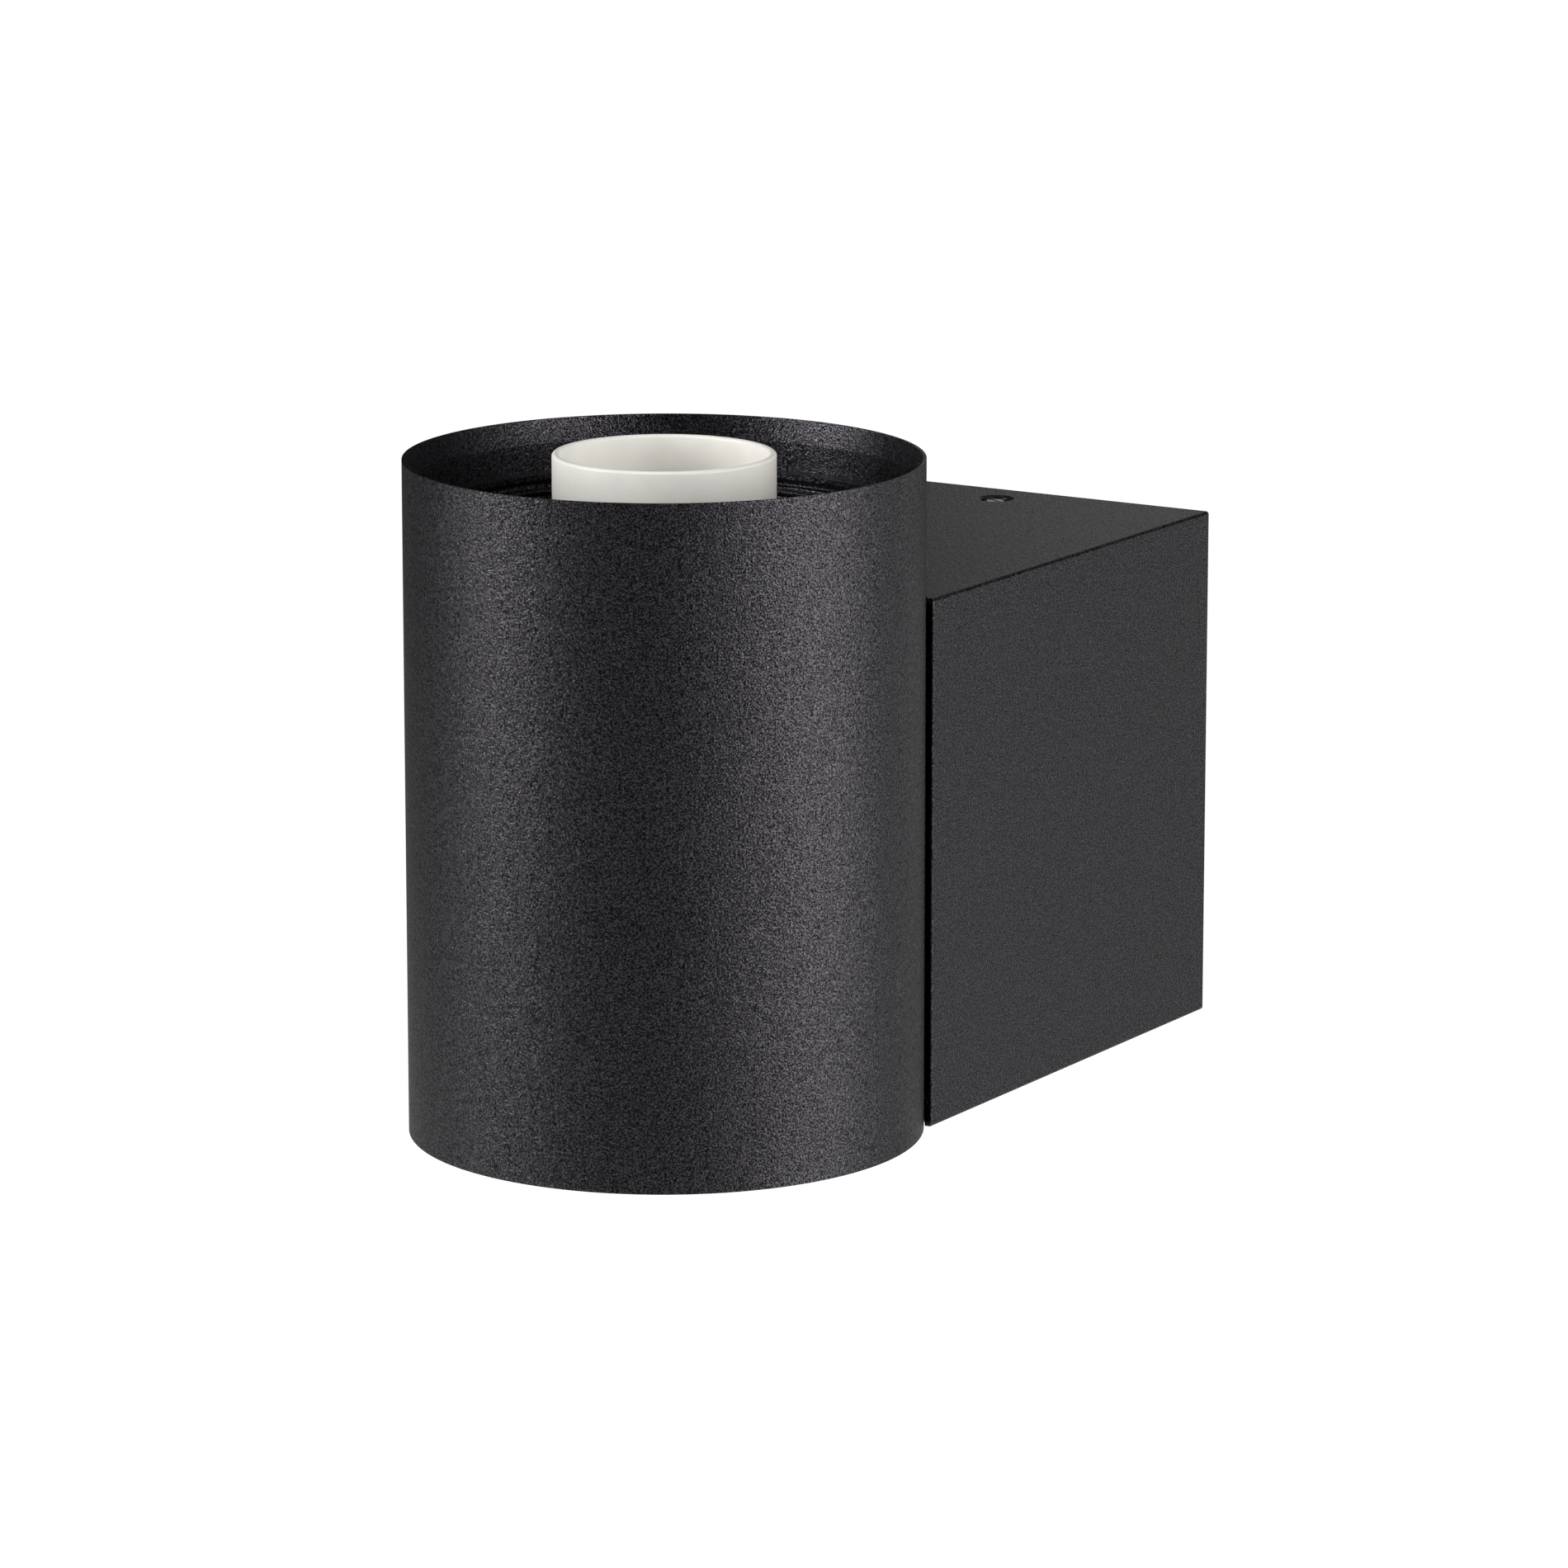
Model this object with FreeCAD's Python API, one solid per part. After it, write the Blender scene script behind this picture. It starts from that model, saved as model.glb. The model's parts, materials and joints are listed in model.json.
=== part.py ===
import FreeCAD, Part
import math
import os

from FreeCAD import Vector

# Tube wall light: an upright tube, open at the top, on a box-shaped arm that stands off the wall.
# Millimetres. +Z is up and +Y goes into the wall. The origin lies on the wall plane, at the middle
# of the arm's back, so the tube stands in front of it at negative Y.

# The body of the light
tube_radius = 45.0
tube_height = 118.5
projection = 167.0
arm_width = 80.0
arm_height = 94.0
arm_wall = 3.0
arm_front_wall = 3.5
tube_gap = 1.0
edge_round = 0.6
front_edge_round = 0.25
front_edge_reach = 23.3
lip_thickness = 0.8
lip_gap = 0.15
axis_y = tube_radius - projection
arm_bottom = -arm_height / 2
arm_top = arm_height / 2
tube_bottom = arm_bottom
tube_top = tube_bottom + tube_height

# The mouth of the tube: a thin rim, a lead-in taper, then the ledge and bore for a screw-in glass
rim_land = 0.55
mouth_radius = 43.9
lead_in_depth = 4.2
ledge_depth = 9.0
ledge_radius = 40.2
ledge_thickness = 0.9
bore_radius = 41.0

# The disc that closes the bottom of the tube
cap_radius = 42.9
cap_seat_clearance = 0.1
cap_thickness = 5.0
cap_chamfer = 0.4
cap_top = tube_bottom + cap_thickness

# The screws and the wire grommet that join the tube to the arm
tube_screw_z = 37.5
tube_screw_radius = 2.5
tube_screw_head_radius = 4.25
tube_screw_head_height = 3.5
tube_washer_radius = 5.2
tube_washer_thickness = 1.0
screw_hole_slack = 0.25
screw_pad_radius = 6.4
socket_across = 4.0
socket_depth = 2.2
saddle_half_width = 19.0
saddle_half_height = 43.6
wire_hole_z = 0.0
wire_hole_radius = 4.5
wire_pad_radius = 7.5
grommet_bore = 3.2
grommet_flange = 1.2
grommet_inner_flange_radius = 6.0
grommet_outer_flange_radius = 6.6
bore_set_back = 0.6
pad_y = axis_y + tube_radius + tube_gap + arm_front_wall + 1.5

# The lampholder, a plain sleeve for a 27 mm lamp cap
holder_height = 58.0
holder_rim = tube_top + 0.8
holder_floor = holder_rim - holder_height
sleeve_radius = 19.3
sleeve_wall = 1.3
sleeve_edge_round = 0.55
base_wall = 3.0
base_chamfer = 1.0
base_joint = holder_floor + 14.0
core_ledge = holder_floor + 15.7
core_top = holder_floor + 26.7
shell_radius = 12.2
shell_wall = 1.2
shell_height = 19.5
shell_top = core_top + shell_height
spigot_height = 6.7
spigot_radius = sleeve_radius - sleeve_wall - 0.1
core_seat_radius = 15.6
base_bore_radius = 14.8
core_flange = 5.0
core_radius = 15.4
core_shoulder_radius = 12.9
recess_radius = 5.2
recess_floor = core_top - 7.5
stem_bore_radius = 2.55

# The sprung middle contact
contact_travel = 1.5
contact_head_bottom = core_top - contact_travel - 0.2
contact_head_radius = 4.2
contact_stem_radius = 2.5
contact_collar_radius = 3.4
contact_washer = 0.5
contact_washer_radius = 4.9
spring_wire_radius = 0.25
spring_coil_radius = 3.25
spring_turns = 4

# The screws, terminals and leads of the lampholder
holder_screw_y = 8.5
holder_screw_radius = 1.65
holder_boss_radius = 3.2
live_x = -8.0
neutral_x = 10.0
lead_hole_radius = 1.7
leg_x = -5.0
leg_width = 4.0
strip_x = shell_radius + shell_wall + 0.05
strip_width = 5.0
strip_thickness = 0.6
terminal_half_depth = 3.0
terminal_bottom = holder_floor + 4.7
terminal_top = terminal_bottom + 6.0
terminal_screw_radius = 1.25
terminal_screw_z = terminal_bottom + 2.5

# The bent steel strap that carries the lampholder
strap_width = 24.0
strap_thickness = 1.5
strap_half_span = 22.0
strap_foot = 10.0
strap_bend = 2.0
strap_screw_x = 15.0
strap_screw_radius = 1.95
strap_screw_depth = 3.6

# Clamp screws near the wall, sunk in wells, and the wall plate that they bear on
clamp_y = -9.0
clamp_radius = 2.0
clamp_clearance = 0.05
clamp_length = 8.0
clamp_sink = 0.4
clamp_chamfer = 0.4
clamp_point_chamfer = 0.8
clamp_slot_width = 0.55
clamp_slot_depth = 1.4
clamp_slot_turn = -29.0
clamp_boss_radius = 5.5
clamp_boss_depth = 5.0
well_radius = 2.65
well_depth = 1.6
dimple_radius = 3.5
dimple_depth = 0.3
plate_thickness = 2.0
plate_bend = 2.5
plate_corner = 4.0
plate_half_width = 32.0
plate_half_height = 33.0
tab_half_width = 12.0
tab_length = 20.0
tab_clearance = 0.3
slot_spacing = 46.0
slot_radius = 2.25
slot_length = 10.0
cable_hole_z = 14.0
cable_hole_radius = 7.0
cable_bore = 4.0
cable_flange_radius = 9.0
cable_flange = 1.2
cable_nose_radius = 5.4
cable_nose_length = 3.8
tab_face = arm_top - clamp_sink - clamp_length - tab_clearance

# The foam frame in the back rim of the arm
seal_step = 1.5
seal_depth = 2.0
seal_width = 3.2
seal_slack = 0.1

# Terminal block and earth point inside the arm
pole_pitch = 10.0
pole_width = 8.8
block_z = -22.0
block_half_height = 8.0
block_back = -64.0
block_face = -50.0
block_base = 5.0
pole_round = 1.5
pole_screw_offset = 4.0
pole_screw_radius = 1.3
pole_screw_head_radius = 1.8
insert_radius = 2.25
insert_bore = 1.4
insert_set_back = 1.5
block_screw_radius = 1.5
wire_y = -55.5
wire_radius = 1.2
post_radius = 2.9
earth_x = 24.0
earth_z = 22.0
earth_y = -70.0
earth_post_radius = 4.2
earth_screw_radius = 2.0
tag_thickness = 0.8
barrel_radius = 1.9
small_slot = 0.6


def box(x_range, y_range, z_range):
    size = [b - a for a, b in (x_range, y_range, z_range)]
    return Part.makeBox(*size, Vector(x_range[0], y_range[0], z_range[0]))


def upright(radius, bottom, top, x=0.0, y=axis_y):
    return Part.makeCylinder(radius, top - bottom, Vector(x, y, bottom))


def crosswise(radius, front, back, x=0.0, z=0.0):
    return Part.makeCylinder(radius, back - front, Vector(x, front, z), Vector(0, 1, 0))


def turned(outline, x=0.0, y=axis_y):
    """Revolve an outline of (radius, height) points about the upright line at x, y."""
    points = [Vector(x + r, y, z) for r, z in outline]
    face = Part.Face(Part.makePolygon(points + points[:1]))
    return face.revolve(Vector(x, y, 0), Vector(0, 0, 1), 360)


def hexagon(across, front, back, x, z):
    """A six-sided prism along Y."""
    corner = across / math.sqrt(3)
    points = []
    for k in range(7):
        turn = math.radians(60 * k)
        points.append(Vector(x + corner * math.cos(turn), front, z + corner * math.sin(turn)))
    return Part.Face(Part.makePolygon(points)).extrude(Vector(0, back - front, 0))


def rounded_path(points, limit=None):
    """Straight runs joined by tangent arcs, each as large as its two runs allow, up to a limit."""
    corners = [Vector(*p) for p in points]
    edges = []
    start = corners[0]
    for before, corner, after in zip(corners, corners[1:], corners[2:]):
        way_in = (corner - before).normalize()
        way_out = (after - corner).normalize()
        half_turn = way_in.getAngle(way_out) / 2
        reach = 0.45 * min((corner - before).Length, (after - corner).Length)
        if limit:
            reach = min(reach, limit * math.tan(half_turn))
        arc_start = corner - way_in * reach
        arc_end = corner + way_out * reach
        inward = (way_out - way_in).normalize()
        radius = reach / math.tan(half_turn)
        middle = corner + inward * (radius / math.cos(half_turn) - radius)
        edges.append(Part.LineSegment(start, arc_start).toShape())
        edges.append(Part.Arc(arc_start, middle, arc_end).toShape())
        start = arc_end
    edges.append(Part.LineSegment(start, corners[-1]).toShape())
    return Part.Wire(edges)


def round_wire(points):
    """A round lead that follows a route of hand-chosen points."""
    path = rounded_path(points)
    heading = Vector(*points[1]) - Vector(*points[0])
    circle = Part.Wire(Part.makeCircle(wire_radius, Vector(*points[0]), heading))
    return path.makePipeShell([circle], True, False)


def bent_strip(points, thickness, bend, x_range=None, y_range=None):
    """A strip of sheet bent along a path in the XZ or the YZ plane, path on its middle line."""
    middle = rounded_path(points, bend)
    face = middle.makeOffset2D(thickness / 2, 0, True, True)
    other = middle.makeOffset2D(-thickness / 2, 0, True, True)
    if x_range:
        along = Vector(x_range[1] - x_range[0], 0, 0)
    else:
        along = Vector(0, y_range[1] - y_range[0], 0)
    return face.extrude(along).fuse(other.extrude(along)).removeSplitter()


# The tube

def tube_body():
    ledge = tube_top - ledge_depth
    outline = [
        (cap_radius + cap_seat_clearance, tube_bottom),
        (tube_radius, tube_bottom),
        (tube_radius, tube_top),
        (tube_radius - rim_land, tube_top),
        (mouth_radius, tube_top - lead_in_depth),
        (mouth_radius, ledge),
        (ledge_radius, ledge),
        (ledge_radius, ledge - ledge_thickness),
        (bore_radius, ledge - 2 * ledge_thickness),
        (bore_radius, cap_top),
        (cap_radius + cap_seat_clearance, cap_top),
    ]
    tube = turned(outline)
    back = axis_y + tube_radius + 1
    front = axis_y + bore_radius - 5
    for z in (-tube_screw_z, tube_screw_z):
        tube = tube.cut(crosswise(tube_screw_radius, front, back, 0, z))
    return tube.cut(crosswise(wire_hole_radius, front, back, 0, wire_hole_z))


def bottom_cap():
    outline = [
        (0, tube_bottom),
        (cap_radius - cap_chamfer, tube_bottom),
        (cap_radius, tube_bottom + cap_chamfer),
        (cap_radius, cap_top),
        (0, cap_top),
    ]
    cap = turned(outline)
    for x in (-strap_screw_x, strap_screw_x):
        cap = cap.cut(upright(strap_screw_radius + 0.05, cap_top - 4.0, cap_top + 1, x))
    return cap


# The arm

def arm_shell():
    """A box with a hollow open to the wall. Its front is hollowed for the tube, with a thin lip
    at the top and the bottom that reaches the tube and hides the gasket."""
    edge_y = axis_y + front_edge_reach
    outer = box((-arm_width / 2, arm_width / 2), (edge_y, 0), (arm_bottom, arm_top))
    long_edges = [e for e in outer.Edges if abs(e.tangentAt(e.FirstParameter).y) > 0.9]
    outer = outer.makeFillet(edge_round, long_edges)
    front_edges = [e for e in outer.Edges if abs(e.BoundBox.YMax - edge_y) < 0.01]
    outer = outer.makeFillet(front_edge_round, front_edges)
    hug = upright(tube_radius + lip_gap, arm_bottom - 1, arm_top + 1)
    seat = upright(tube_radius + tube_gap, arm_bottom + lip_thickness, arm_top - lip_thickness)
    outer = outer.cut([hug, seat])
    inner_x = arm_width / 2 - arm_wall
    inner_z = arm_height / 2 - arm_wall
    hollow = box((-inner_x, inner_x), (axis_y, 1), (-inner_z, inner_z))
    front_radius = tube_radius + tube_gap + arm_front_wall
    hollow = hollow.cut(upright(front_radius, arm_bottom, arm_top))
    return outer.cut(hollow)


def arm_housing():
    housing = arm_shell()
    inner_z = arm_height / 2 - arm_wall
    wall_y = axis_y + tube_radius + tube_gap + 1.0
    pads = [crosswise(screw_pad_radius, wall_y, pad_y, 0, -tube_screw_z)]
    pads.append(crosswise(screw_pad_radius, wall_y, pad_y, 0, tube_screw_z))
    pads.append(crosswise(wire_pad_radius, wall_y, pad_y, 0, wire_hole_z))
    for x in (-pole_pitch / 2, pole_pitch / 2):
        pads.append(crosswise(post_radius, wall_y, block_back, x, block_z))
    pads.append(crosswise(earth_post_radius, wall_y - 5, earth_y, earth_x, earth_z))
    boss_top = inner_z + 1
    boss_bottom = inner_z - clamp_boss_depth
    pads.append(upright(clamp_boss_radius, boss_bottom, boss_top, 0, clamp_y))
    pads.append(upright(clamp_boss_radius, -boss_top, -boss_bottom, 0, clamp_y))
    housing = housing.fuse(pads).removeSplitter()

    holes = [crosswise(wire_hole_radius, axis_y, pad_y + 1, 0, wire_hole_z)]
    for z in (-tube_screw_z, tube_screw_z):
        holes.append(crosswise(tube_screw_radius + screw_hole_slack, axis_y, pad_y + 1, 0, z))
    for x in (-pole_pitch / 2, pole_pitch / 2):
        holes.append(crosswise(block_screw_radius, block_back - 6.5, block_back + 1, x, block_z))
    holes.append(crosswise(earth_screw_radius, earth_y - 6.0, earth_y + 1, earth_x, earth_z))
    clamp_hole = clamp_radius + clamp_clearance
    holes.append(upright(clamp_hole, boss_bottom - 1, arm_top + 1, 0, clamp_y))
    holes.append(upright(clamp_hole, arm_bottom - 1, -boss_bottom + 1, 0, clamp_y))
    for side in (1, -1):
        start = Vector(0, clamp_y, side * arm_top)
        inward = Vector(0, 0, -side)
        holes.append(Part.makeCylinder(well_radius, well_depth, start, inward))
        holes.append(Part.makeCone(dimple_radius, well_radius, dimple_depth, start, inward))
    rim_x = arm_width / 2 - arm_wall + seal_step
    rim_z = arm_height / 2 - arm_wall + seal_step
    holes.append(box((-rim_x, rim_x), (-seal_depth, 1), (-rim_z, rim_z)))
    return housing.cut(holes)


def back_seal():
    rim_x = arm_width / 2 - arm_wall + seal_step - seal_slack
    rim_z = arm_height / 2 - arm_wall + seal_step - seal_slack
    frame = box((-rim_x, rim_x), (-seal_depth, 0), (-rim_z, rim_z))
    in_x = rim_x - seal_width
    in_z = rim_z - seal_width
    return frame.cut(box((-in_x, in_x), (-seal_depth - 1, 1), (-in_z, in_z)))


def saddle_gasket():
    """The thin curved pad between the back of the tube and the hollow front of the arm."""
    outer = upright(tube_radius + tube_gap, -saddle_half_height, saddle_half_height)
    pad = outer.cut(upright(tube_radius, -saddle_half_height - 1, saddle_half_height + 1))
    window = box((-saddle_half_width, saddle_half_width), (axis_y, 0), (arm_bottom, arm_top))
    pad = pad.common(window)
    for z in (-tube_screw_z, tube_screw_z):
        pad = pad.cut(crosswise(tube_screw_radius + screw_hole_slack, axis_y, 0, 0, z))
    return pad.cut(crosswise(wire_hole_radius, axis_y, 0, 0, wire_hole_z))


def tube_screw(z):
    head_front = pad_y + tube_washer_thickness
    head_back = head_front + tube_screw_head_height
    end = axis_y + bore_radius - bore_set_back
    screw = crosswise(tube_screw_head_radius, head_front, head_back, 0, z)
    screw = screw.fuse(crosswise(tube_screw_radius, end, head_front, 0, z)).removeSplitter()
    return screw.cut(hexagon(socket_across, head_back - socket_depth, head_back + 1, 0, z))


def tube_washer(z):
    washer = crosswise(tube_washer_radius, pad_y, pad_y + tube_washer_thickness, 0, z)
    return washer.cut(crosswise(tube_screw_radius + 0.15, pad_y - 1, pad_y + 2, 0, z))


def wire_grommet():
    inner_face = axis_y + bore_radius - bore_set_back
    inner_end = inner_face - grommet_flange
    outer_end = pad_y + grommet_flange
    grommet = crosswise(wire_hole_radius, inner_face, pad_y, 0, wire_hole_z)
    outer_flange = crosswise(grommet_outer_flange_radius, pad_y, outer_end, 0, wire_hole_z)
    inner_flange = crosswise(grommet_inner_flange_radius, inner_end, inner_face, 0, wire_hole_z)
    grommet = grommet.fuse([outer_flange, inner_flange]).removeSplitter()
    return grommet.cut(crosswise(grommet_bore, inner_face - 5, pad_y + 5, 0, wire_hole_z))


# The lampholder and what carries it

def holder_support():
    """A strap bent to a bridge on two legs, with feet turned in on the bottom disc."""
    bridge = holder_floor - strap_thickness / 2
    foot = cap_top + strap_thickness / 2
    leg = strap_half_span - strap_thickness / 2
    toe = strap_half_span - strap_foot - 1.5
    side = axis_y - strap_width / 2
    points = [(-toe, side, foot), (-leg, side, foot), (-leg, side, bridge)]
    points += [(leg, side, bridge), (leg, side, foot), (toe, side, foot)]
    strap = bent_strip(points, strap_thickness, strap_bend, y_range=(side, side + strap_width))
    for x in (-strap_screw_x, strap_screw_x):
        hole = upright(strap_screw_radius + screw_hole_slack, cap_top - 1, cap_top + 3, x)
        strap = strap.cut(hole)
    for y in (-holder_screw_y, holder_screw_y):
        hole = upright(holder_screw_radius + screw_hole_slack, bridge - 2, bridge + 2, 0, axis_y + y)
        strap = strap.cut(hole)
    for x in (live_x, neutral_x):
        strap = strap.cut(upright(2 * wire_radius, bridge - 2, bridge + 2, x))
    return strap


def slotted_screw(radius, head_radius, head_height, length, slot=0.8):
    """A round-headed screw at the origin, seated under its head and pointing down."""
    screw = Part.makeCylinder(head_radius, head_height)
    rim = [e for e in screw.Edges if abs(e.CenterOfMass.z - head_height) < 0.01]
    screw = screw.makeFillet(0.4 * head_height, [e for e in rim if e.Length > head_radius])
    screw = screw.fuse(Part.makeCylinder(radius, length, Vector(0, 0, -length))).removeSplitter()
    cutter = (-head_radius - 1, head_radius + 1), (-slot / 2, slot / 2), (0.5 * head_height, head_height + 1)
    return screw.cut(box(*cutter))


def support_screw(x):
    screw = slotted_screw(strap_screw_radius, 3.6, 2.4, strap_thickness + strap_screw_depth)
    screw.translate(Vector(x, axis_y, cap_top + strap_thickness))
    return screw


def holder_screw(y):
    screw = slotted_screw(holder_screw_radius, 3.0, 2.0, strap_thickness + 6.0)
    screw.rotate(Vector(0, 0, 0), Vector(1, 0, 0), 180)
    screw.translate(Vector(0, axis_y + y, holder_floor - strap_thickness))
    return screw


def lampholder_base():
    """The closed lower half of the lampholder, with a spigot for the sleeve."""
    spigot_top = base_joint + spigot_height
    outline = [
        (0, holder_floor),
        (sleeve_radius - base_chamfer, holder_floor),
        (sleeve_radius, holder_floor + base_chamfer),
        (sleeve_radius, base_joint),
        (spigot_radius, base_joint),
        (spigot_radius, spigot_top),
        (core_seat_radius, spigot_top),
        (core_seat_radius, core_ledge),
        (base_bore_radius, core_ledge),
        (base_bore_radius, holder_floor + base_wall),
        (0, holder_floor + base_wall),
    ]
    base = turned(outline)
    bosses = []
    for y in (-holder_screw_y, holder_screw_y):
        bosses.append(upright(holder_boss_radius, holder_floor + 1, holder_floor + 8, 0, axis_y + y))
    base = base.fuse(bosses).removeSplitter()
    holes = []
    for y in (-holder_screw_y, holder_screw_y):
        holes.append(upright(holder_screw_radius, holder_floor - 1, holder_floor + 6.5, 0, axis_y + y))
    for x in (live_x, neutral_x):
        holes.append(upright(lead_hole_radius, holder_floor - 1, holder_floor + base_wall + 1, x))
    return base.cut(holes)


def lampholder_sleeve():
    """The white sleeve round the lamp cap: its rim is rounded and a funnel hides the shell."""
    inner = sleeve_radius - sleeve_wall
    bottom = base_joint + 0.05
    clamp_ring = core_ledge + core_flange + 0.05
    throat = shell_radius + shell_wall + 0.5
    lip = shell_top + 0.3
    funnel = inner - throat
    outline = [
        (inner, bottom),
        (sleeve_radius, bottom),
        (sleeve_radius, holder_rim),
        (inner, holder_rim),
        (inner, lip + 1.0 + funnel),
        (throat, lip + 1.0),
        (throat, lip),
        (inner, lip),
        (inner, clamp_ring + 1.5),
        (base_bore_radius, clamp_ring + 1.5),
        (base_bore_radius, clamp_ring),
        (inner, clamp_ring),
    ]
    sleeve = turned(outline)
    rim = [e for e in sleeve.Edges if abs(e.CenterOfMass.z - holder_rim) < 0.01 and e.Length > 50]
    return sleeve.makeFillet(sleeve_edge_round, rim)


def insulator_core():
    """The disc that carries the screw shell and guides the sprung middle contact."""
    outline = [
        (stem_bore_radius, core_ledge),
        (core_radius, core_ledge),
        (core_radius, core_ledge + core_flange),
        (core_shoulder_radius, core_ledge + core_flange),
        (core_shoulder_radius, core_top),
        (recess_radius, core_top),
        (recess_radius, recess_floor),
        (stem_bore_radius, recess_floor),
    ]
    core = turned(outline)
    slack = 0.2
    leg_slot = box(
        (leg_x - slack, leg_x + strip_thickness + slack),
        (axis_y - leg_width / 2 - slack, axis_y + leg_width / 2 + slack),
        (core_ledge - 1, recess_floor + 0.8),
    )
    strip_slot = box(
        (strip_x - slack, core_radius + 1),
        (axis_y - strip_width / 2 - slack, axis_y + strip_width / 2 + slack),
        (core_ledge - 1, core_top),
    )
    return core.cut([leg_slot, strip_slot])


def screw_shell():
    shell = upright(shell_radius + shell_wall, core_top, shell_top)
    return shell.cut(upright(shell_radius, core_top - 1, shell_top + 1))


def centre_contact():
    """A button on a stem, kept in the core by the collar at the stem's foot."""
    collar_top = core_ledge - 0.4
    outline = [
        (0, collar_top - 1.0),
        (contact_collar_radius, collar_top - 1.0),
        (contact_collar_radius, collar_top),
        (contact_stem_radius, collar_top),
        (contact_stem_radius, contact_head_bottom),
        (contact_head_radius, contact_head_bottom),
        (contact_head_radius, contact_head_bottom + 0.8),
        (2.4, core_top - 0.25),
        (0, core_top - 0.1),
    ]
    return turned(outline)


def contact_spring():
    """Round wire wound between the contact washer and the button."""
    bottom = recess_floor + contact_washer + spring_wire_radius
    top = contact_head_bottom - spring_wire_radius
    quarters = 4 * spring_turns
    rise = (top - bottom) / quarters
    edges = []
    for k in range(quarters):
        marks = []
        for part in (0, 0.5, 1):
            turn = math.radians(90 * (k + part))
            height = bottom + rise * (k + part)
            x = spring_coil_radius * math.cos(turn)
            y = axis_y + spring_coil_radius * math.sin(turn)
            marks.append(Vector(x, y, height))
        edges.append(Part.Arc(*marks).toShape())
    path = Part.Wire(edges)
    start = Vector(spring_coil_radius, axis_y, bottom)
    heading = path.Edges[0].tangentAt(path.Edges[0].FirstParameter)
    circle = Part.Wire(Part.makeCircle(spring_wire_radius, start, heading))
    return path.makePipeShell([circle], True, False)


def clamp_block(x_range):
    """A small brass block with a hole up into it for the lead, and one across for its screw."""
    depth = (axis_y - terminal_half_depth, axis_y + terminal_half_depth)
    block = box(x_range, depth, (terminal_bottom, terminal_top))
    middle = sum(x_range) / 2
    block = block.cut(upright(wire_radius + 0.1, terminal_bottom - 1, terminal_bottom + 4, middle))
    return block.cut(crosswise(terminal_screw_radius, axis_y - 4, axis_y, middle, terminal_screw_z))


def centre_terminal():
    """A washer under the spring, a leg down through the core and the clamp for the live lead."""
    top = recess_floor + contact_washer
    hole = upright(contact_stem_radius + 0.4, recess_floor - 1, top + 1)
    washer = upright(contact_washer_radius, recess_floor, top).cut(hole)
    leg = box(
        (leg_x, leg_x + strip_thickness),
        (axis_y - leg_width / 2, axis_y + leg_width / 2),
        (terminal_bottom, top),
    )
    block = clamp_block((2 * live_x - leg_x, leg_x))
    return washer.fuse([leg, block]).removeSplitter()


def shell_terminal():
    """The strip that touches the screw shell, with the clamp for the neutral lead."""
    strip = box(
        (strip_x, strip_x + strip_thickness),
        (axis_y - strip_width / 2, axis_y + strip_width / 2),
        (terminal_bottom, core_top + 5.0),
    )
    block = clamp_block((2 * neutral_x - strip_x, strip_x))
    return strip.fuse(block).removeSplitter()


def terminal_screw(x):
    screw = slotted_screw(terminal_screw_radius, 2.0, 1.4, 2.0, small_slot)
    screw.rotate(Vector(0, 0, 0), Vector(1, 0, 0), 90)
    screw.translate(Vector(x, axis_y - terminal_half_depth, terminal_screw_z))
    return screw


# Leads, terminal block and earth point

def live_wire():
    route = [
        (live_x, axis_y, terminal_bottom + 0.5),
        (live_x, axis_y, holder_floor - 6),
        (live_x + 1.5, axis_y + 9, -2.0),
        (-3.5, axis_y + 22, -3.0),
        (-1.3, axis_y + 34, wire_hole_z),
        (-1.3, pad_y + 5, wire_hole_z),
        (-5.0, pad_y + 12, -3.0),
        (-pole_pitch, wire_y, -8.0),
        (-pole_pitch, wire_y, block_z + block_half_height - 1),
    ]
    return round_wire(route)


def neutral_wire():
    route = [
        (neutral_x, axis_y, terminal_bottom + 0.5),
        (neutral_x, axis_y, holder_floor - 6),
        (neutral_x - 2.0, axis_y + 9, -3.0),
        (4.5, axis_y + 22, -4.0),
        (1.3, axis_y + 34, wire_hole_z),
        (1.3, pad_y + 5, wire_hole_z),
        (1.0, pad_y + 12.5, -2.5),
        (0.0, wire_y, -8.0),
        (0.0, wire_y, block_z + block_half_height - 1),
    ]
    return round_wire(route)


def earth_wire():
    barrel_y = earth_y + barrel_radius
    route = [
        (earth_x, barrel_y, earth_z - 10.0),
        (earth_x, barrel_y, earth_z - 16.0),
        (earth_x - 0.5, barrel_y + 2.5, earth_z - 22.5),
        (earth_x - 5.0, barrel_y + 8.5, earth_z - 29.0),
        (pole_pitch + 1.0, wire_y - 0.5, -9.0),
        (pole_pitch, wire_y, block_z + block_half_height - 1),
    ]
    return round_wire(route)


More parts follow.
